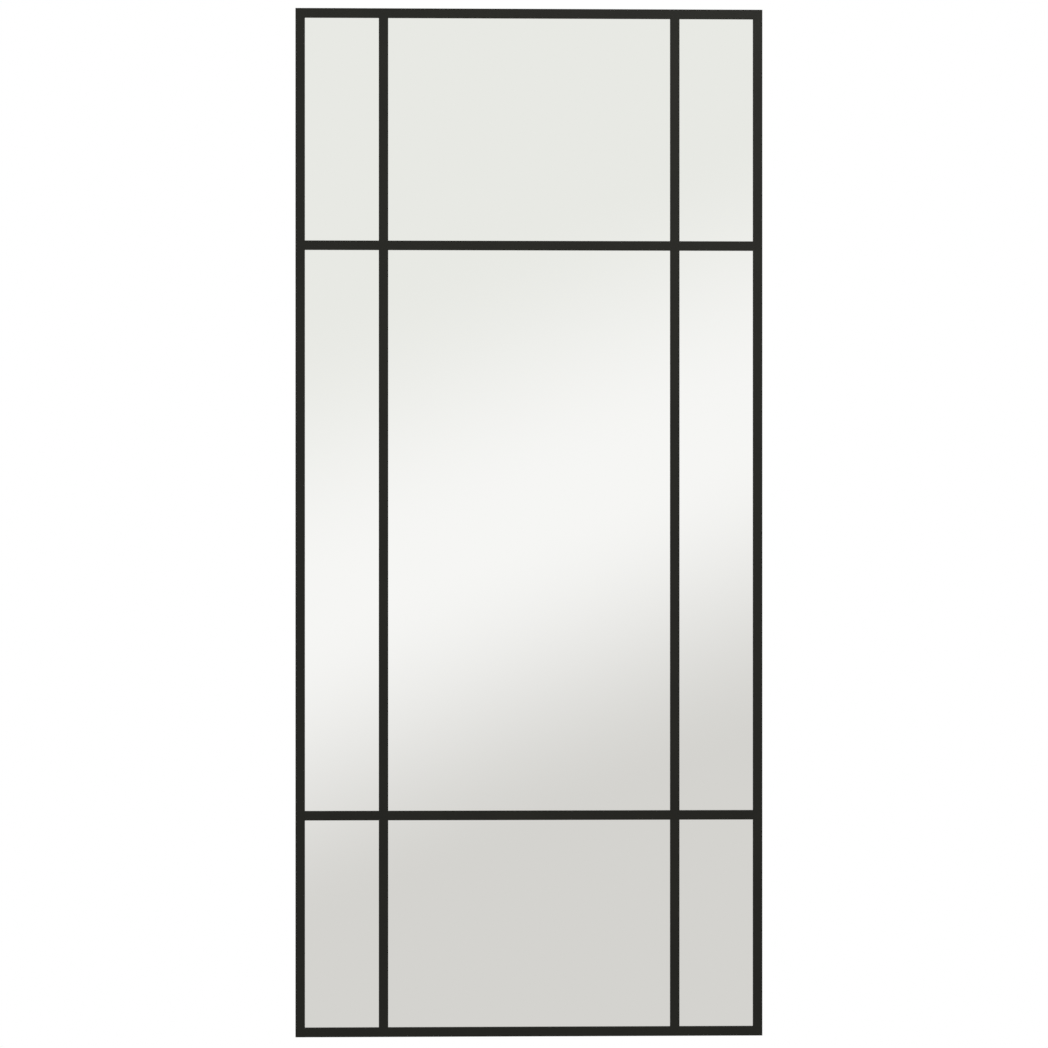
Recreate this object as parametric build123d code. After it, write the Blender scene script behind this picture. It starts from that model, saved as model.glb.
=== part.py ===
from build123d import *
import os

# A wall mirror behind a welded steel grid.
# X runs to the right seen from the front, Z runs up, and Y runs from the front to the wall.
# The origin is the centre of the back, on the plane that lies against the wall.

# Overall size
frame_width = 750.0
frame_height = 1650.0
frame_depth = 25.0

# The grid, seen from the front: three columns by three rows of panes
bar_width = 15.0
side_pane_width = 118.5
top_pane_height = 357.5
bottom_pane_height = 332.5

# Steel angle and flat bar
steel_thickness = 2.0
steel_edge_radius = 0.5

# Foam tape between the steel and the glass
tape_thickness = 1.0
tape_width = 8.0

# The mirror glass and the rubber blocks round it
glass_thickness = 4.0
glass_edge_clearance = 3.0
glass_arris = 0.5
block_length = 50.0
block_from_centre = 185.0
spacer_from_corner = 150.0

# Bonding tape between the glass and its backing board
board_tape_thickness = 1.0
board_tape_width = 25.0
board_tape_count = 7
board_tape_from_side = 60.0
board_tape_from_end = 100.0

# The backing board
board_thickness = 3.0
board_clearance = 1.0

# The timber battens fill the rest of the depth
batten_width = 35.0
batten_arris = 1.0

# Countersunk screws through the steel into the battens
frame_screw_radius = 1.75
frame_screw_head_radius = 3.5
frame_screw_length = 16.0
frame_screw_sink = 0.15
frame_screws_per_stile = 6
frame_screws_per_rail = 3
stile_screw_from_corner = 60.0
rail_screw_from_corner = 195.0

# Long screws, two at each end, that join the middle batten to the upright ones
batten_screw_radius = 2.0
batten_screw_head_radius = 4.0
batten_screw_length = 50.0
batten_screw_sink = 5.0
batten_screw_spacing = 18.0

# Any screw
screw_clearance = 0.05
screw_tip_length = 4.0
screw_tip_radius = 0.3
slot_width = 0.9
slot_depth = 0.8
slot_rim = 1.2

# D-ring hangers, set in pockets across the upright battens
hanger_from_top = 220.0
hanger_wall_clearance = 1.58
pocket_margin = 6.0
ring_wire_radius = 1.5
ring_inner_width = 20.0
ring_leg = 5.5
ring_bend_radius = 3.0
ring_joint_gap = 0.4
strap_width = 16.0
strap_thickness = 1.0
strap_end_margin = 8.0
strap_end_radius = 6.0
strap_ramp_length = 6.0
knuckle_clearance = 0.06
knuckle_lift = 0.3
knuckle_slit = 0.4

# Pan-head screws that hold the straps
strap_screw_radius = 1.75
strap_screw_head_radius = 3.5
strap_screw_head_height = 2.2
strap_screw_dome_radius = 1.2
strap_screw_tip_margin = 0.5
strap_screw_spacing = 18.0
strap_screw_from_ring = 2.0

# Places across the width, all measured from the centre line
half_width = frame_width / 2
flange_inner_x = half_width - steel_thickness
stile_inner = half_width - bar_width
bar_outer = stile_inner - side_pane_width
bar_inner = bar_outer - bar_width
tape_stile_inner = (stile_inner + flange_inner_x - tape_width) / 2
tape_bar_outer = (bar_outer + bar_inner + tape_width) / 2
tape_bar_inner = (bar_outer + bar_inner - tape_width) / 2
glass_half_width = flange_inner_x - glass_edge_clearance
batten_inner_x = flange_inner_x - batten_width
hanger_x = (flange_inner_x + batten_inner_x) / 2

# Places up the height, all measured from the centre
half_height = frame_height / 2
flange_inner_z = half_height - steel_thickness
rail_inner = half_height - bar_width
upper_bar = (rail_inner - top_pane_height - bar_width, rail_inner - top_pane_height)
lower_bar = (bottom_pane_height - rail_inner, bottom_pane_height - rail_inner + bar_width)
tape_rail_inner = (rail_inner + flange_inner_z - tape_width) / 2
glass_half_height = flange_inner_z - glass_edge_clearance
batten_inner_z = flange_inner_z - batten_width
hanger_z = half_height - hanger_from_top

# Layers through the depth, from the front face back to the wall
face_front = -frame_depth
face_back = face_front + steel_thickness
glass_front = face_back + tape_thickness
glass_back = glass_front + glass_thickness
board_front = glass_back + board_tape_thickness
board_back = board_front + board_thickness
batten_mid_y = board_back / 2

# A hanger, measured from the axis of its hinge
knuckle_inner_radius = ring_wire_radius + knuckle_clearance
knuckle_outer_radius = knuckle_inner_radius + strap_thickness
hinge_height = knuckle_outer_radius + knuckle_lift
ring_half_width = ring_inner_width / 2 + ring_wire_radius
ring_reach = ring_leg + ring_half_width + ring_wire_radius
upper_screw_depth = ring_reach + strap_screw_from_ring + strap_screw_head_radius
lower_screw_depth = upper_screw_depth + strap_screw_spacing
strap_length = lower_screw_depth + strap_end_margin

# The pocket is as deep as its hanger is high, and a little more
pocket_floor = -(hinge_height + knuckle_outer_radius + hanger_wall_clearance)
strap_seat = pocket_floor + strap_thickness
strap_screw_length = strap_seat - board_back - strap_screw_tip_margin

columns = {
    "left": (-stile_inner, -bar_outer),
    "centre": (-bar_inner, bar_inner),
    "right": (bar_outer, stile_inner),
}
rows = {
    "top": (upper_bar[1], rail_inner),
    "middle": (lower_bar[1], upper_bar[0]),
    "bottom": (-rail_inner, lower_bar[0]),
}
sides = {"left": -1, "right": 1}


def block(x_span, y_span, z_span):
    """A block between two values along each axis, given in either order."""
    spans = [sorted(span) for span in (x_span, y_span, z_span)]
    centre = [(low + high) / 2 for low, high in spans]
    size = [high - low for low, high in spans]
    return Pos(*centre) * Box(*size)


def prism(*corners):
    """A prism through the whole depth, over an outline seen from the front."""
    return extrude(Plane.XZ * Polygon(*corners, align=None), amount=frame_depth, dir=(0, -1, 0))


def turned(*profile):
    """A solid turned about Z, from the (radius, height) points of half its section."""
    return revolve(Plane.XZ * Polygon(*profile, align=None), axis=Axis.Z)


def evenly(count, reach):
    """As many places as asked, from -reach to +reach at one pitch."""
    return [reach * (2 * index / (count - 1) - 1) for index in range(count)]


def cross_slot(head_radius):
    """The cross cut into a screw's head, whose top is at height 0."""
    arm = Box(2 * (head_radius - slot_rim), slot_width, 2 * slot_depth)
    return arm + Rot(0, 0, 90) * arm


def countersunk_screw(head_radius, radius, length):
    """A wood screw that points down, with the flat top of its head at height 0."""
    body = turned(
        (0, 0),
        (head_radius, 0),
        (radius, radius - head_radius),
        (radius, screw_tip_length - length),
        (screw_tip_radius, -length),
        (0, -length),
    )
    return body - cross_slot(head_radius)


def countersunk_hole(head_radius, radius, length, sink):
    """The hole for such a screw, open from a surface that lies the sink above its head."""
    wide = head_radius + screw_clearance
    narrow = radius + screw_clearance
    return turned(
        (0, sink),
        (wide, sink),
        (wide, 0),
        (narrow, narrow - wide),
        (narrow, -length - screw_clearance),
        (0, -length - screw_clearance),
    )


def frame_screw_places():
    """Where the screws go into the side of the frame: the middle of the head's top, facing out."""
    places = []
    x_face = half_width - frame_screw_sink
    z_face = half_height - frame_screw_sink
    for side in sides.values():
        for z in evenly(frame_screws_per_stile, half_height - stile_screw_from_corner):
            places.append(Plane((side * x_face, batten_mid_y, z), z_dir=(side, 0, 0)))
        for x in evenly(frame_screws_per_rail, half_width - rail_screw_from_corner):
            places.append(Plane((x, batten_mid_y, side * z_face), z_dir=(0, 0, side)))
    return places


def batten_screw_places():
    """Where the long screws go, through the upright battens into the ends of the middle one."""
    places = []
    x_head = flange_inner_x - batten_screw_sink
    for side in sides.values():
        for z in evenly(2, batten_screw_spacing / 2):
            places.append(Plane((side * x_head, batten_mid_y, z), z_dir=(side, 0, 0)))
    return places


def strap_screw_places(side):
    """Where the two screws of a strap go: the middle of the underside of the head, facing the wall."""
    heights = (hanger_z - upper_screw_depth, hanger_z - lower_screw_depth)
    return [Plane((side * hanger_x, strap_seat, z), z_dir=(0, 1, 0)) for z in heights]


frame_screw = (frame_screw_head_radius, frame_screw_radius, frame_screw_length)
batten_screw = (batten_screw_head_radius, batten_screw_radius, batten_screw_length)


def countersunk_holes():
    """Every hole for a countersunk screw, through whatever it meets."""
    frame_hole = countersunk_hole(*frame_screw, frame_screw_sink)
    batten_hole = countersunk_hole(*batten_screw, batten_screw_sink)
    holes = [place * frame_hole for place in frame_screw_places()]
    holes += [place * batten_hole for place in batten_screw_places()]
    return holes


def strap_screw_holes(side):
    """The holes for the two screws of a strap, through the strap and into the wood."""
    depth = strap_screw_length + screw_clearance
    hole = Pos(0, 0, -depth / 2) * Cylinder(strap_screw_radius + screw_clearance, depth)
    return [place * hole for place in strap_screw_places(side)]


# The steel front


def steel_front():
    """All the steel in one piece, with nine openings, as it is once welded and ground flush."""
    whole_x = (-half_width, half_width)
    whole_z = (-half_height, half_height)
    steel = block(whole_x, (face_front, 0), whole_z)
    steel -= block((-flange_inner_x, flange_inner_x), (face_back, 0), (-flange_inner_z, flange_inner_z))
    for x_span in columns.values():
        for z_span in rows.values():
            steel -= block(x_span, (face_front, face_back), z_span)
    front_edges = steel.edges().filter_by_position(Axis.Y, face_front, face_front)
    beyond_x = half_width - steel_thickness / 2
    beyond_z = half_height - steel_thickness / 2
    corners = [
        edge
        for edge in steel.edges().filter_by(Axis.Y)
        if abs(edge.center().X) > beyond_x and abs(edge.center().Z) > beyond_z
    ]
    return fillet(front_edges + corners, steel_edge_radius)


def steel_members():
    """The steel divided where its members are welded: mitres at the corners, butts in the grid."""
    steel = steel_front()
    for hole in countersunk_holes():
        steel -= hole
    members = {}
    for name, side in sides.items():
        members[f"frame_stile_{name}"] = steel & prism(
            (side * half_width, half_height),
            (side * half_width, -half_height),
            (side * stile_inner, -rail_inner),
            (side * stile_inner, rail_inner),
        )
    for name, side in {"top": 1, "bottom": -1}.items():
        members[f"frame_rail_{name}"] = steel & prism(
            (half_width, side * half_height),
            (-half_width, side * half_height),
            (-stile_inner, side * rail_inner),
            (stile_inner, side * rail_inner),
        )
    skin = (face_front, face_back)
    for name, side in sides.items():
        bar_x = (side * bar_inner, side * bar_outer)
        members[f"grid_bar_vertical_{name}"] = steel & block(bar_x, skin, (-rail_inner, rail_inner))
    for row, z_span in {"upper": upper_bar, "lower": lower_bar}.items():
        for column, x_span in columns.items():
            members[f"grid_bar_{row}_{column}"] = steel & block(x_span, skin, z_span)
    return members


# The glass and what beds it


def glazing_tape():
    """Foam tape behind the middle of every member of the steel, narrower than it and so out of sight."""
    depth = (face_back, glass_front)
    tape_stile_outer = tape_stile_inner + tape_width
    tape_rail_outer = tape_rail_inner + tape_width
    strips = {}
    for name, side in sides.items():
        stile_x = (side * tape_stile_inner, side * tape_stile_outer)
        bar_x = (side * tape_bar_inner, side * tape_bar_outer)
        strips[f"tape_stile_{name}"] = block(stile_x, depth, (-tape_rail_outer, tape_rail_outer))
        strips[f"tape_vertical_{name}"] = block(bar_x, depth, (-tape_rail_inner, tape_rail_inner))
    rail_x = (-tape_stile_inner, tape_stile_inner)
    for name, side in {"top": 1, "bottom": -1}.items():
        rail_z = (side * tape_rail_inner, side * tape_rail_outer)
        strips[f"tape_rail_{name}"] = block(rail_x, depth, rail_z)
    lengths = {
        "left": (-tape_stile_inner, -tape_bar_outer),
        "centre": (-tape_bar_inner, tape_bar_inner),
        "right": (tape_bar_outer, tape_stile_inner),
    }
    for row, z_span in {"upper": upper_bar, "lower": lower_bar}.items():
        middle = sum(z_span) / 2
        strip_z = (middle - tape_width / 2, middle + tape_width / 2)
        for column, x_span in lengths.items():
            strips[f"tape_{row}_{column}"] = block(x_span, depth, strip_z)
    return strips


def mirror_glass():
    """One sheet of silvered glass behind the whole grid, with its sharp edges taken off."""
    glass = block(
        (-glass_half_width, glass_half_width),
        (glass_front, glass_back),
        (-glass_half_height, glass_half_height),
    )
    rims = glass.edges() - glass.edges().filter_by(Axis.Y)
    return chamfer(rims, glass_arris)


def rubber_blocks():
    """The two blocks the glass stands on, and the six that keep it central."""
    depth = (glass_front, glass_back)
    gap_x = (glass_half_width, flange_inner_x)
    gap_z = (glass_half_height, flange_inner_z)
    half_length = block_length / 2
    standing = []
    centring = []
    for side in sides.values():
        middle_x = side * block_from_centre
        along_x = (middle_x - half_length, middle_x + half_length)
        standing.append(block(along_x, depth, [-z for z in gap_z]))
        centring.append(block(along_x, depth, gap_z))
        for end in (-1, 1):
            middle_z = end * (glass_half_height - spacer_from_corner)
            along_z = (middle_z - half_length, middle_z + half_length)
            centring.append(block([side * x for x in gap_x], depth, along_z))
    return {"setting_blocks": Compound(standing), "edge_spacers": Compound(centring)}


def board_tape():
    """Strips of bonding tape across the back of the glass."""
    half_length = glass_half_width - board_tape_from_side
    half_strip = board_tape_width / 2
    strips = [
        block((-half_length, half_length), (glass_back, board_front), (z - half_strip, z + half_strip))
        for z in evenly(board_tape_count, glass_half_height - board_tape_from_end)
    ]
    return Compound(strips)


def backing_board():
    """Thin hardboard that carries the glass and closes the back."""
    board_half_width = flange_inner_x - board_clearance
    board_half_height = flange_inner_z - board_clearance
    return block(
        (-board_half_width, board_half_width),
        (board_front, board_back),
        (-board_half_height, board_half_height),
    )


# The timber behind the board


def eased_batten(x_span, z_span, axis):
    """A batten along the axis, with the long edges that face the wall slightly blunted."""
    batten = block(x_span, (board_back, 0), z_span)
    back_edges = batten.edges().filter_by_position(Axis.Y, 0, 0).filter_by(axis)
    return chamfer(back_edges, batten_arris)


def hanger_pocket(side):
    """The pocket across an upright batten, with room for the strap below and the ring above."""
    return block(
        (side * batten_inner_x, side * flange_inner_x),
        (pocket_floor, 0),
        (hanger_z - strap_length - pocket_margin, hanger_z + ring_reach + pocket_margin),
    )


def battens():
    """Two full-height uprights, with a top, a bottom and a middle batten between them."""
    wood = {}
    for name, side in sides.items():
        upright_x = (side * batten_inner_x, side * flange_inner_x)
        upright = eased_batten(upright_x, (-flange_inner_z, flange_inner_z), Axis.Z)
        upright -= hanger_pocket(side)
        for hole in strap_screw_holes(side):
            upright -= hole
        wood[f"batten_{name}"] = upright
    across = (-batten_inner_x, batten_inner_x)
    wood["batten_top"] = eased_batten(across, (batten_inner_z, flange_inner_z), Axis.X)
    wood["batten_bottom"] = eased_batten(across, (-flange_inner_z, -batten_inner_z), Axis.X)
    wood["batten_middle"] = eased_batten(across, (-batten_width / 2, batten_width / 2), Axis.X)
    for hole in countersunk_holes():
        wood = {name: batten - hole for name, batten in wood.items()}
    return wood


def frame_screws():
    """The countersunk screws round the side of the frame."""
    return Compound([place * countersunk_screw(*frame_screw) for place in frame_screw_places()])


def batten_screws():
    """The long screws that hold the middle batten."""
    return Compound([place * countersunk_screw(*batten_screw) for place in batten_screw_places()])


# The hangers


def hinge_place(side):
    """The middle of a hanger's hinge, whose axis runs along X."""
    return Pos(side * hanger_x, pocket_floor + hinge_height, hanger_z)


def hanger_strap(side):
    """A strap of sheet steel, screwed to the wood and curled round the ring's wire at the top."""
    floor = -hinge_height
    outside = Circle(knuckle_outer_radius)
    ramp = Polygon(
        (floor, -strap_ramp_length),
        (floor + strap_thickness, -strap_ramp_length),
        (-knuckle_inner_radius, 0),
        (-knuckle_outer_radius, 0),
        align=None,
    )
    plate = Polygon(
        (floor, -strap_length),
        (floor + strap_thickness, -strap_length),
        (floor + strap_thickness, -strap_ramp_length),
        (floor, -strap_ramp_length),
        align=None,
    )
    slit = Rectangle(knuckle_slit, knuckle_outer_radius, align=(Align.CENTER, Align.MAX))
    slit = Pos(knuckle_slit - knuckle_inner_radius, -knuckle_inner_radius / 2) * slit
    section = outside + ramp + plate - Circle(knuckle_inner_radius) - slit
    strap = extrude(Plane.YZ * section, amount=strap_width / 2, both=True)
    end_corners = strap.edges().filter_by(Axis.Y).filter_by_position(Axis.Z, -strap_length, -strap_length)
    strap = hinge_place(side) * fillet(end_corners, strap_end_radius)
    for hole in strap_screw_holes(side):
        strap -= hole
    return strap


def hanger_ring(side):
    """A D of bent wire that hangs down from the hinge, its ends nearly meeting inside the knuckle."""
    straight = ring_half_width - ring_bend_radius
    seam = ring_joint_gap / 2
    path = Line((seam, 0), (straight, 0))
    path += CenterArc((straight, -ring_bend_radius), ring_bend_radius, 90, -90)
    path += Line((ring_half_width, -ring_bend_radius), (ring_half_width, -ring_leg))
    path += CenterArc((0, -ring_leg), ring_half_width, 0, -180)
    path += Line((-ring_half_width, -ring_leg), (-ring_half_width, -ring_bend_radius))
    path += CenterArc((-straight, -ring_bend_radius), ring_bend_radius, 180, -90)
    path += Line((-straight, 0), (-seam, 0))
    wire = sweep(Plane((seam, 0, 0), z_dir=(1, 0, 0)) * Circle(ring_wire_radius), path=Plane.XZ * path)
    return hinge_place(side) * wire


def strap_screw():
    """A pan-head screw that points down, with the underside of its head at height 0."""
    head = Pos(0, 0, strap_screw_head_height / 2) * Cylinder(strap_screw_head_radius, strap_screw_head_height)
    head = fillet(head.edges().group_by(Axis.Z)[-1], strap_screw_dome_radius)
    shank = turned(
        (0, 0),
        (strap_screw_radius, 0),
        (strap_screw_radius, screw_tip_length - strap_screw_length),
        (screw_tip_radius, -strap_screw_length),
        (0, -strap_screw_length),
    )
    slot = Pos(0, 0, strap_screw_head_height) * cross_slot(strap_screw_head_radius)
    return head + shank - slot


def hangers():
    """A strap, a ring and two screws on each upright batten."""
    hardware = {}
    for name, side in sides.items():
        hardware[f"hanger_strap_{name}"] = hanger_strap(side)
        hardware[f"hanger_ring_{name}"] = hanger_ring(side)
        screws = [place * strap_screw() for place in strap_screw_places(side)]
        hardware[f"hanger_screws_{name}"] = Compound(screws)
    return hardware


pieces = {
    **steel_members(),
    **glazing_tape(),
    "mirror_glass": mirror_glass(),
    **rubber_blocks(),
    "board_tape": board_tape(),
    "backing_board": backing_board(),
    **battens(),
    "frame_screws": frame_screws(),
    "batten_screws": batten_screws(),
    **hangers(),
}

os.makedirs("parts", exist_ok=True)
for name, piece in pieces.items():
    export_step(piece, f"parts/{name}.step")
print(len(pieces), "pieces written")
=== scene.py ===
# %% [markdown]
# A tall wall mirror: one sheet of silvered glass behind a welded grid of black steel.
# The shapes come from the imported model, which is right to the millimetre, so they stay as they are.
# What this lesson adds is how each surface looks, and the light and the camera to see it by.

# %% Load the model
import bpy
import math
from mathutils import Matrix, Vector


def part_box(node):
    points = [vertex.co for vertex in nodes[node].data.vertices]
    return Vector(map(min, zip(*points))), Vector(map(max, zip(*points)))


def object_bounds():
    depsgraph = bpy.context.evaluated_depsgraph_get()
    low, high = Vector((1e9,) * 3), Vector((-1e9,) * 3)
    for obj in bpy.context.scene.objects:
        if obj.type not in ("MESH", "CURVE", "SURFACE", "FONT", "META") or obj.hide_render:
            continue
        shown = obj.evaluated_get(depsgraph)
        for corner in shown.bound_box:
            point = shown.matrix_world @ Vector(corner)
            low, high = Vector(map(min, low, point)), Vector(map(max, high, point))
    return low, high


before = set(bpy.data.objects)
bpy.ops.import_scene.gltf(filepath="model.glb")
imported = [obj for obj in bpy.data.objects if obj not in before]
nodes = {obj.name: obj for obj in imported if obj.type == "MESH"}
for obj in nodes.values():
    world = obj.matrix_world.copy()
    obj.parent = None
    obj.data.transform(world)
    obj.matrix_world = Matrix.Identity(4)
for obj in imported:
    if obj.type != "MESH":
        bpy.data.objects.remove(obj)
model_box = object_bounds()
print("pieces loaded:", len(nodes))

# %% [markdown]
# Every finish below is worked out by shader nodes, not painted on with a picture.
# A finish is mostly arithmetic on masks, and arithmetic is easiest to read as a formula.
# So one small class wraps the output socket of a node, and lets Python's own operators add the
# Math nodes. An operator has two forms, so that both mask - 1 and 1 - mask work.

# %% Formulas made of nodes


class Wire:
    """An output of a node. Sums and products of wires and numbers add Math nodes."""

    def __init__(self, graph, node, output=0):
        self.graph = graph
        self.node = node
        self.socket = node.outputs[output] if node.outputs else None

    def output(self, name):
        """Another output of the same node."""
        return Wire(self.graph, self.node, name)

    def apply(self, operation, *others):
        """A function of the Math node, such as SINE, or MAXIMUM with another wire."""
        return self.graph.math(operation, self, *others)

    def between(self, low, high):
        """0 below low, 1 above high, and a smooth rise from one to the other."""
        ends = {"Value": self, "From Min": low, "From Max": high}
        return self.graph.node("MapRange", {"interpolation_type": "SMOOTHSTEP"}, ends)

    def __add__(self, other):
        return self.graph.math("ADD", self, other)

    def __radd__(self, other):
        return self.graph.math("ADD", other, self)

    def __sub__(self, other):
        return self.graph.math("SUBTRACT", self, other)

    def __rsub__(self, other):
        return self.graph.math("SUBTRACT", other, self)

    def __mul__(self, other):
        return self.graph.math("MULTIPLY", self, other)

    def __rmul__(self, other):
        return self.graph.math("MULTIPLY", other, self)

    def __truediv__(self, other):
        return self.graph.math("DIVIDE", self, other)

    def __rtruediv__(self, other):
        return self.graph.math("DIVIDE", other, self)

    def __pow__(self, other):
        return self.graph.math("POWER", self, other)

    def __rpow__(self, other):
        return self.graph.math("POWER", other, self)


print("a wire can be added, multiplied, divided and raised")

# %% [markdown]
# Every node comes from one method, which takes its type, its settings, and then a number or a
# wire for each socket. The settings go first, because some of them decide which sockets there are.
# Colours don't go through Math nodes, which would turn them grey. They are mixed instead.

# %% A tree of nodes


class Graph:
    """A node tree that starts empty."""

    def __init__(self, tree):
        self.tree = tree
        tree.nodes.clear()

    def node(self, kind, settings=None, sockets=None, output=0):
        """Adds a node: its settings first, then a value or a wire for each socket named."""
        made = self.tree.nodes.new("ShaderNode" + kind)
        for name, value in (settings or {}).items():
            setattr(made, name, value)
        for name, value in (sockets or {}).items():
            socket = made.inputs[name]
            if isinstance(value, Wire):
                self.tree.links.new(value.socket, socket)
            elif socket.type == "RGBA":
                socket.default_value = (*value, 1)
            else:
                socket.default_value = value
        return Wire(self, made, output)

    def math(self, operation, *inputs):
        return self.node("Math", {"operation": operation}, dict(enumerate(inputs)))

    def mix(self, factor, first, second):
        """A colour between two colours."""
        return self.node("Mix", {"data_type": "RGBA"}, {0: factor, 6: first, 7: second}, output=2)

    def axes(self, vector):
        """A vector as three wires: X, Y and Z."""
        split = self.node("SeparateXYZ", None, {"Vector": vector})
        return [split.output(axis) for axis in "XYZ"]

    def bump(self, height, distance):
        """Relief: height 1 stands this many metres above height 0."""
        return self.node("Bump", None, {"Height": height, "Distance": distance})


print("nodes ready to be wired")

# %% [markdown]
# Colours in a photograph are screen values from 0 to 255, but a shader wants linear light.
# One function converts them, so that every colour below can be written as it is seen.

# %% Colours as seen on a screen


def seen(red, green, blue):
    """Linear light for a colour given by its screen values."""

    def linear(value):
        share = value / 255
        return share / 12.92 if share <= 0.04045 else ((share + 0.055) / 1.055) ** 2.4

    return tuple(linear(value) for value in (red, green, blue))


print("mid grey:", [round(value, 3) for value in seen(128, 128, 128)])

# %% [markdown]
# A finish is a material with one Principled shader. Its patterns are fixed to the object's own
# coordinates, so grain and texture keep their real size on every piece.
# Each pattern is given by the size of one blotch or cell in millimetres. Three sizes make it
# longer one way, as wood fibres are, and a turn in the plane of the mirror lays it aslant.

# %% A finish and where it goes


class Finish(Graph):
    """A material that ends in one Principled shader."""

    def __init__(self, name):
        self.material = bpy.data.materials.new(name)
        self.material.use_nodes = True
        super().__init__(self.material.node_tree)
        self.place = self.node("TexCoord").output("Object")

    def counted(self, size, turn, seed):
        """The place, counted in blotches instead of metres, starting from some other point."""
        sizes = size if isinstance(size, tuple) else (size, size, size)
        return self.node("Mapping", {"vector_type": "TEXTURE"}, {
            "Vector": self.place,
            "Scale": tuple(value / 1000 for value in sizes),
            "Rotation": (0, math.radians(turn), 0),
            "Location": (seed, 1.7 * seed, 2.3 * seed),
        })

    def noise(self, size, detail=3, turn=0, seed=0):
        """Soft blotches, mostly between 0.3 and 0.7."""
        where = self.counted(size, turn, seed)
        return self.node("TexNoise", None, {"Vector": where, "Scale": 1, "Detail": detail})

    def cells(self, size, seed=0):
        """The distance from the middle of the nearest of many random cells."""
        return self.node("TexVoronoi", None, {"Vector": self.counted(size, 0, seed), "Scale": 1})

    def surface(self, sockets):
        shader = self.node("BsdfPrincipled", None, sockets)
        self.node("OutputMaterial", None, {"Surface": shader})
        return self.material


def dress(material, *names):
    """Gives these nodes of the model one material."""
    for name in names:
        slots = nodes[name].data.materials
        slots.clear()
        slots.append(material)
    print(material.name, "on", len(names), "pieces")


def named(*starts):
    """The model's nodes whose names start with one of these words."""
    return [name for name in sorted(nodes) if name.startswith(starts)]


print("pieces of steel to dress:", len(named("frame_stile", "frame_rail", "grid_bar")))

# %% [markdown]
# The steel is powder coated a deep matt black. The powder melts into a film that is not quite
# level: a fine orange peel under a millimetre across, with a finer tooth on it.
# Black paint still throws back some of the white room, so most of its grey is sheen, not colour.
# What colour there is leans to olive, as the photograph shows.
# Handling leaves a few hair-fine rubbed lines, which only show as slightly smoother paint.
# A flat black of one roughness would look like plastic where light grazes it. So noises of three
# sizes give the peel, the tooth and the clouding, and two long thin ones give the rubbed lines.

# %% Black powder coat

deep_black = (0.0034, 0.0034, 0.0012)
soft_black = (0.0048, 0.0048, 0.0020)
peel_depth = 0.00012


def powder_coat():
    coat = Finish("black_powder_coat")
    peel = coat.noise(0.8, 2)
    tooth = coat.noise(0.24, 2)
    cloud = coat.noise(110)
    upright = coat.noise((0.25, 0.25, 45), 1)
    level = coat.noise((45, 0.25, 0.25), 1)
    rubbed = upright.apply("MAXIMUM", level).between(0.70, 0.76)
    return coat.surface({
        "Base Color": coat.mix(cloud.between(0.35, 0.65), deep_black, soft_black),
        "Roughness": 0.50 + 0.08 * peel + 0.06 * (cloud - 0.5) - 0.09 * rubbed,
        "Specular IOR Level": 0.235,
        "Normal": coat.bump(0.75 * peel + 0.25 * tooth, peel_depth),
    })


dress(powder_coat(), *named("frame_stile", "frame_rail", "grid_bar"))

# %% [markdown]
# The mirror is float glass silvered on its back. Seen from the front it is a near perfect
# reflector with a trace of green. Its edges are ground glass, and its back is grey paint.
# Clear glass with a mirror behind it would be closer to how it is made, but every ray would then
# have to find its way through the sheet, for nearly the same picture. So it is one material, and
# the front, the edge and the back are told apart by how near a point lies to the outside.

# %% Silvered glass

mirror_silver = Vector((0.93, 0.94, 0.93))
green_edge = (0.10, 0.20, 0.16)
grey_paint = (0.13, 0.135, 0.14)
rim = 0.0005
paint_depth = 0.0002


def silvered_glass():
    sheet = Finish("silvered_glass")
    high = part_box("mirror_glass")[1]
    x, y, z = sheet.axes(sheet.place)
    side = x.apply("ABSOLUTE").between(high.x - rim, high.x - rim / 2)
    end = z.apply("ABSOLUTE").between(high.z - rim, high.z - rim / 2)
    edge = side.apply("MAXIMUM", end)
    back = y.between(high.y - paint_depth, high.y - paint_depth / 2)
    silver = (1 - edge) * (1 - back)
    ground = sheet.noise(0.4)
    spray = sheet.noise(1.7)
    haze = sheet.noise(70, 4).between(0.55, 0.8)
    front = sheet.mix(edge, tuple(mirror_silver), green_edge)
    outside = edge * (0.12 + 0.1 * ground) + back * (0.4 + 0.2 * spray)
    return sheet.surface({
        "Base Color": sheet.mix(back, front, grey_paint),
        "Metallic": silver,
        "Roughness": silver * (0.002 + 0.004 * haze) + outside,
        "Normal": sheet.bump((edge * ground + back * spray) * (1 - silver), 0.00003),
    })


dress(silvered_glass(), "mirror_glass")

# %% [markdown]
# Between the steel and the glass lies black foam tape, and the glass stands on rubber blocks.
# Foam shows its cells as small round pits. Rubber is denser, with a dusty bloom on it.
# A Voronoi texture is made of cells, as foam is, so its distances serve as the pits. The foam's
# colour is also painted darker towards the bottom of each pit, as painted shade. For the
# bloom on the rubber a soft noise does.

# %% Foam and rubber


def foam(name, dark, light):
    tape = Finish(name)
    pits_and_pit_shade = tape.cells(0.4)
    mottle = tape.noise(3)
    return tape.surface({
        # Painted shade: the colour is darkest at the bottom of each pit, on top of a random mottle.
        "Base Color": tape.mix(mottle * pits_and_pit_shade.between(0.0, 0.7), dark, light),
        "Roughness": 0.80 + 0.15 * mottle,
        "Normal": tape.bump(pits_and_pit_shade, 0.00008),
    })


def rubber(dark, dusty):
    block = Finish("black_rubber")
    bloom = block.noise(8, 4)
    grain = block.noise(0.5, 2)
    return block.surface({
        "Base Color": block.mix(bloom.between(0.45, 0.75), dark, dusty),
        "Roughness": 0.55 + 0.2 * bloom,
        "Normal": block.bump(grain, 0.00003),
    })


# For the foam tapes, dark is the colour painted at the bottom of each pit as shade. Elsewhere a
# random mottle mixes it with light.
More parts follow.
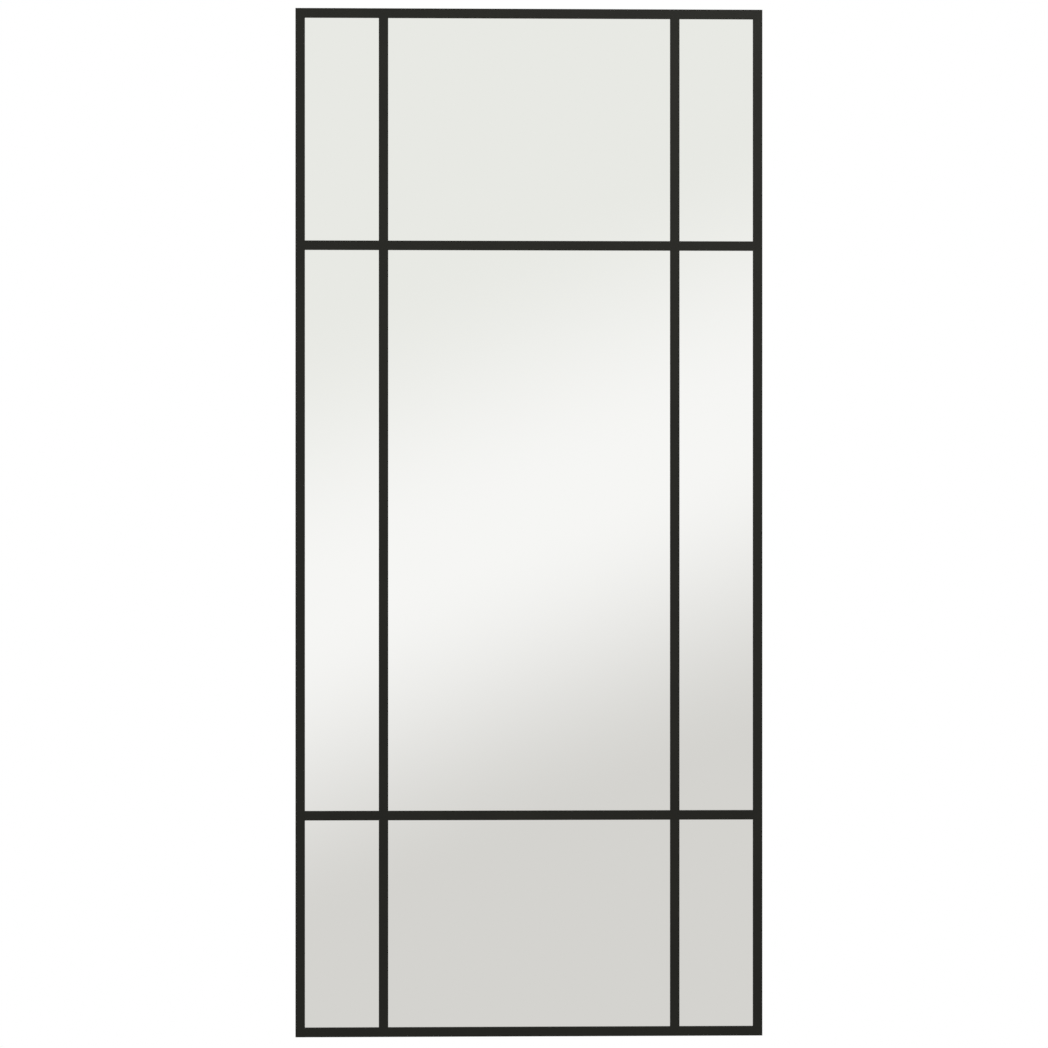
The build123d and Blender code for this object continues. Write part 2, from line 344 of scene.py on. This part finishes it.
black_foam = foam("black_foam_tape", dark=(0.008, 0.008, 0.008), light=(0.02, 0.02, 0.02))
white_foam = foam("white_bonding_tape", dark=(0.55, 0.55, 0.52), light=(0.75, 0.75, 0.72))
black_rubber = rubber(dark=(0.012, 0.012, 0.012), dusty=(0.03, 0.03, 0.031))
dress(black_foam, *named("tape_"))
dress(white_foam, "board_tape")
dress(black_rubber, "setting_blocks", "edge_spacers")

# %% [markdown]
# The back is closed by brown hardboard: wood fibres cooked and pressed into a hard sheet.
# Up close the fibres lie every way, some darker and some paler, under a faint shine.
# One long thin noise looks like brushed metal and two crossed ones look like cloth, so five
# are laid at uneven angles, and only the strongest at each point is kept.

# %% Hardboard

fibre_size = (0.5, 0.5, 5)
fibre_turns = (8, 41, 77, 112, 149)


def hardboard():
    board = Finish("brown_hardboard")
    fibre = board.noise(fibre_size, 1, fibre_turns[0])
    for turn in fibre_turns[1:]:
        fibre = fibre.apply("MAXIMUM", board.noise(fibre_size, 1, turn, seed=turn / 10))
    pulp = board.noise(1.4, 4)
    stain = board.noise(150, 5).between(0.3, 0.75)
    fleck = board.noise((1.6, 1.6, 2.8), 1, 30).between(0.70, 0.78)
    dark = board.mix(pulp.between(0.3, 0.7), seen(88, 61, 41), seen(112, 80, 55))
    brown = board.mix(0.75 * fibre.between(0.60, 0.74), dark, seen(146, 110, 79))
    stained = board.mix(0.6 * stain, brown, seen(84, 58, 40))
    return board.surface({
        "Base Color": board.mix(0.6 * fleck, stained, seen(60, 42, 30)),
        "Roughness": 0.40 + 0.25 * pulp,
        "Normal": board.bump(0.6 * fibre + 0.4 * pulp, 0.00006),
    })


dress(hardboard(), "backing_board")

# %% [markdown]
# The battens are planed softwood. A batten is a slice of a trunk, so its stripes are the yearly
# rings, cut lengthwise: pale spring wood that darkens slowly and then ends sharply.
# A wave texture makes stripes too, but all of one width. Here the rings are circles round a
# heart that lies outside the batten, so they can be bent, and some years made wider than others.
# Here and there a knot pushes them aside. Each cell of a Voronoi texture has a random colour, and
# only where its grey is bright enough does the cell hold a knot.

# %% Softwood

ring_width = 0.0026
bend_of_rings = 0.030
knot_push = 0.007
spread_of_years = 0.003
knot_spacing = 60


def softwood(name, grain, heart, seed):
    """Planed softwood with its grain along Z or X. The heart is a distance across and a depth."""
    wood = Finish(name)
    x, y, z = wood.axes(wood.place)
    across = x if grain == "Z" else z

    def along_grain(across, length):
        """A blotch's size in millimetres across the grain and along it."""
        return (across, across, length) if grain == "Z" else (length, across, across)

    bend = wood.noise(along_grain(110, 620), 2, seed=seed)
    good_years = wood.noise(along_grain(9, 4000), 1, seed=seed)
    from_knot = wood.cells(knot_spacing, seed)
    real_knot = from_knot.output("Color").apply("GREATER_THAN", 0.62)
    push = real_knot * (1 - from_knot.between(0.05, 0.42))
    knot = real_knot * (1 - from_knot.between(0.075, 0.09))
    bark = real_knot * from_knot.between(0.06, 0.085) * (1 - from_knot.between(0.085, 0.11))
    side = across - heart[0]
    depth = y - heart[1]
    from_heart = (side * side + depth * depth) ** 0.5
    shifted = from_heart + bend_of_rings * bend + knot_push * push + spread_of_years * good_years
    year = (shifted / ring_width).apply("FRACT")
    late = year.between(0.35, 0.92) * (1 - year.between(0.93, 1.0))
    fibre = wood.noise(along_grain(0.6, 36))
    pores = wood.noise(along_grain(0.25, 6), 1, seed=seed).between(0.66, 0.74)
    tone = wood.noise(200, 2, seed=seed).between(0.3, 0.7)
    spring = wood.mix(tone, seen(214, 182, 136), seen(204, 168, 120))
    ringed = wood.mix(0.7 * late, spring, seen(166, 118, 72))
    fibrous = wood.mix(0.35 * fibre.between(0.45, 0.8) + 0.3 * pores, ringed, seen(150, 108, 70))
    knotted = wood.mix(0.85 * knot, fibrous, seen(140, 92, 54))
    return wood.surface({
        "Base Color": wood.mix(0.9 * bark, knotted, seen(74, 45, 27)),
        "Roughness": 0.62 + 0.16 * fibre - 0.1 * late,
        "Normal": wood.bump(0.6 * fibre + 0.4 * late, 0.00008),
    })


dress(softwood("softwood_left", "Z", heart=(-0.300, 0.045), seed=3.1), "batten_left")
dress(softwood("softwood_right", "Z", heart=(0.410, 0.052), seed=7.7), "batten_right")
dress(softwood("softwood_top", "X", heart=(0.770, 0.048), seed=1.3), "batten_top")
dress(softwood("softwood_bottom", "X", heart=(-0.850, 0.050), seed=5.9), "batten_bottom")
dress(softwood("softwood_middle", "X", heart=(0.045, 0.060), seed=9.3), "batten_middle")

# %% [markdown]
# The hangers and their screws are zinc plated steel: bright, slightly blue, with a soft
# blotchiness where the plating crystals differ, and fine scratches from the tumbling drum.
# The frame's own screws are blackened, and the long ones through the battens are yellow zinc.
# An even metal shader would look like chrome. With its roughness varied a little, by cells and
# by blotches, it looks dipped, and the same recipe serves all three platings.

# %% Screws and hangers


def plated(name, pale, dark, smoothest):
    metal = Finish(name)
    crystal = metal.cells(2.4)
    blotch = metal.noise(6)
    scratch = metal.noise((0.2, 1.1, 2.5), 2, 20)
    return metal.surface({
        "Base Color": metal.mix(blotch.between(0.35, 0.65), dark, pale),
        "Metallic": 1.0,
        "Roughness": smoothest + 0.10 * blotch + 0.06 * crystal,
        "Normal": metal.bump(scratch, 0.000006),
    })


bright_zinc = plated("bright_zinc", (0.62, 0.64, 0.67), (0.50, 0.52, 0.55), smoothest=0.24)
yellow_zinc = plated("yellow_zinc", (0.66, 0.54, 0.28), (0.55, 0.47, 0.30), smoothest=0.26)
blackened = plated("blackened_steel", (0.030, 0.030, 0.031), (0.016, 0.016, 0.017), smoothest=0.42)
dress(bright_zinc, *named("hanger_"))
dress(yellow_zinc, "batten_screws")
dress(blackened, "frame_screws")

# %% [markdown]
# A mirror has no colour of its own: it looks like the room in front of it.
# In the photograph that room is a soft band of light that leans to the right: pale grey above,
# brightest in the middle, darker grey below. It runs through all the panes without a break.
# Real walls could make it, but each change of tone would mean moving them about.
# So the room is painted on the world, by direction, and only mirrors and sheen see it.
# It is a list of steps. Each gives the slope of sight where a new tone starts to come in, the
# slope where it is reached, and the tone itself, as the mirror has to show it.

# %% Tones of the room

lowest_tone = (204, 203, 200)
band_tone = (246, 246, 244)
room_steps = (
    (-1.60, -0.70, (227, 226, 223)),
    (-0.60, -0.17, (212, 211, 207)),
    (-0.102, -0.003, band_tone),
    (0.0073, 0.098, (232, 233, 228)),
    (0.20, 1.40, (250, 250, 248)),
)


def room_tone(screen_values):
    """The tone that the room must have for the mirror to show these screen values."""
    return tuple(light / silver for light, silver in zip(seen(*screen_values), mirror_silver))


print("tone of the bright band:", [round(value, 2) for value in room_tone(band_tone)])

# %% [markdown]
# To lean the band, the slope is shifted by how far a ray heads to the side. A sine does that, so
# that the tones meet again without a seam on the far side of the room.
# The camera sees plain white instead of the room, and matt surfaces get an even light.

# %% The room that the mirror shows

band_lean = 0.42
band_heading = 0.0258
waves_round_the_room = 5
even_light = (0.62, 0.62, 0.62)
white = (1, 1, 1)
least_level = 0.001


def build_room():
    world = bpy.data.worlds.new("room")
    bpy.context.scene.world = world
    world.use_nodes = True
    room = Graph(world.node_tree)
    x, y, z = room.axes(room.node("TexCoord").output("Generated"))
    level = (x * x + y * y) ** 0.5
    climb = z / level.apply("MAXIMUM", least_level)
    heading = x.apply("ARCTAN2", -1 * y)
    wave = (waves_round_the_room * (heading - band_heading)).apply("SINE")
    height = climb - band_lean / waves_round_the_room * wave
    tone = room_tone(lowest_tone)
    for start, end, screen_values in room_steps:
        tone = room.mix(height.between(start, end), tone, room_tone(screen_values))
    path = room.node("LightPath")
    mirrored = path.output("Is Glossy Ray").apply("MAXIMUM", path.output("Is Transmission Ray"))
    lit = room.mix(mirrored, even_light, tone)
    colour = room.mix(path.output("Is Camera Ray"), lit, white)
    light = room.node("Background", None, {"Color": colour, "Strength": 1.0})
    room.node("OutputWorld", None, {"Surface": light})
    print("nodes in the room:", len(world.node_tree.nodes))


build_room()

# %% [markdown]
# The floor is pale and plain, and lies well below the mirror, which hangs. Near the mirror it
# is matt and takes a soft shadow. A matt floor alone would end in a grey horizon, because the
# lamps hardly reach that far. So it fades into the white of the background by glowing, but only
# for the camera. It is hidden from mirrors, where its edge would cut the band, and a camera below
# it looks through it.

# %% Floor

floor_level = -1.25
floor_reach = 12.0
fade_start = 1.1
fade_end = 2.3
pale_grey = (0.8, 0.8, 0.8)
half_grey = (0.5, 0.5, 0.5)


def build_floor():
    mesh = bpy.data.meshes.new("floor")
    far = floor_reach
    corners = [(x, y, floor_level) for x, y in ((-far, -far), (far, -far), (far, far), (-far, far))]
    mesh.from_pydata(corners, [], [(0, 1, 2, 3)])
    floor = bpy.data.objects.new("floor", mesh)
    bpy.context.scene.collection.objects.link(floor)
    floor.visible_glossy = False
    paint = Finish("pale_floor")
    x, y = paint.axes(paint.place)[:2]
    faded = ((x * x + y * y) ** 0.5).between(fade_start, fade_end)
    pale = paint.node("BsdfDiffuse", None, {"Color": pale_grey})
    dim = paint.node("BsdfDiffuse", None, {"Color": half_grey})
    glow = paint.node("Emission", None, {"Color": white, "Strength": 0.5})
    background = paint.node("Emission", None, {"Color": white, "Strength": 1.0})
    near = paint.node("AddShader", None, {0: dim, 1: glow})
    shown = paint.node("MixShader", None, {0: faded, 1: near, 2: background})
    underneath = paint.node("NewGeometry").output("Backfacing")
    clear = paint.node("BsdfTransparent")
    from_camera = paint.node("MixShader", None, {0: underneath, 1: shown, 2: clear})
    camera_ray = paint.node("LightPath").output("Is Camera Ray")
    both = paint.node("MixShader", None, {0: camera_ray, 1: pale, 2: from_camera})
    paint.node("OutputMaterial", None, {"Surface": both})
    mesh.materials.append(paint.material)
    print("floor at", floor_level)


build_floor()

# %% [markdown]
# Studio light: a large soft lamp high on the right, a weaker one on the left, and one behind
# for the timber and the hangers. Large lamps give soft edges to every shadow.
# The photograph's frame is a little brighter at the top right, which is where the main lamp is.
# A lamp would show in the mirror as a hard white square, which the photograph doesn't have.
# So the lamps are linked to everything but the glass, which sees only the painted room.

# %% Lamps

left_out = bpy.data.collections.new("not_lit_by_lamps")
left_out.objects.link(nodes["mirror_glass"])
left_out.collection_objects[0].light_linking.link_state = "EXCLUDE"


def lamp(name, place, size, power):
    """A square lamp of this size, aimed at the middle of the mirror."""
    light = bpy.data.lights.new(name, "AREA")
    light.shape = "SQUARE"
    light.size = size
    light.energy = power
    holder = bpy.data.objects.new(name, light)
    holder.light_linking.receiver_collection = left_out
    holder.location = place
    holder.rotation_euler = (-Vector(place)).to_track_quat("-Z", "Y").to_euler()
    bpy.context.scene.collection.objects.link(holder)
    print(name, "at", place, "with", power, "watts")


lamp("main_lamp", place=(1.9, -2.3, 2.2), size=1.5, power=60)
lamp("fill_lamp", place=(-2.6, -2.8, 0.9), size=2.0, power=20)
lamp("back_lamp", place=(-1.2, 2.8, 2.0), size=2.0, power=60)

# %% [markdown]
# The camera stands about five metres away with a long lens, level with the middle.
# In the photograph the left edge of the mirror is a hair taller than the right edge, so the
# camera stands a degree and a half to the left of square.
# The mirror isn't quite in the middle of the photograph. Shifting the lens would do that, but a
# slight turn of the camera does it too, and leaves the lens alone.

# %% Camera

camera_distance = 5.0
camera_turn = math.radians(1.48)
photo_size = 1048
photo_span = 1.6826
mirror_middle_in_photo = (529.33, 522.67)
sensor_width = 36.0


def build_camera():
    data = bpy.data.cameras.new("camera")
    data.sensor_width = sensor_width
    data.lens = sensor_width * camera_distance / photo_span
    camera = bpy.data.objects.new("camera", data)
    bpy.context.scene.collection.objects.link(camera)
    bpy.context.scene.camera = camera
    middle = Vector((0, model_box[0].y, 0))
    backward = Vector((-math.sin(camera_turn), -math.cos(camera_turn), 0))
    sideways = Vector((math.cos(camera_turn), -math.sin(camera_turn), 0))
    camera.location = middle + camera_distance * backward
    right = (mirror_middle_in_photo[0] / photo_size - 0.5) * photo_span
    down = (mirror_middle_in_photo[1] / photo_size - 0.5) * photo_span
    aim = middle - right * sideways + Vector((0, 0, down)) - camera.location
    camera.rotation_euler = aim.to_track_quat("-Z", "Y").to_euler()
    print("lens", round(data.lens, 1), "mm")


build_camera()
bpy.context.scene.view_settings.view_transform = "Standard"
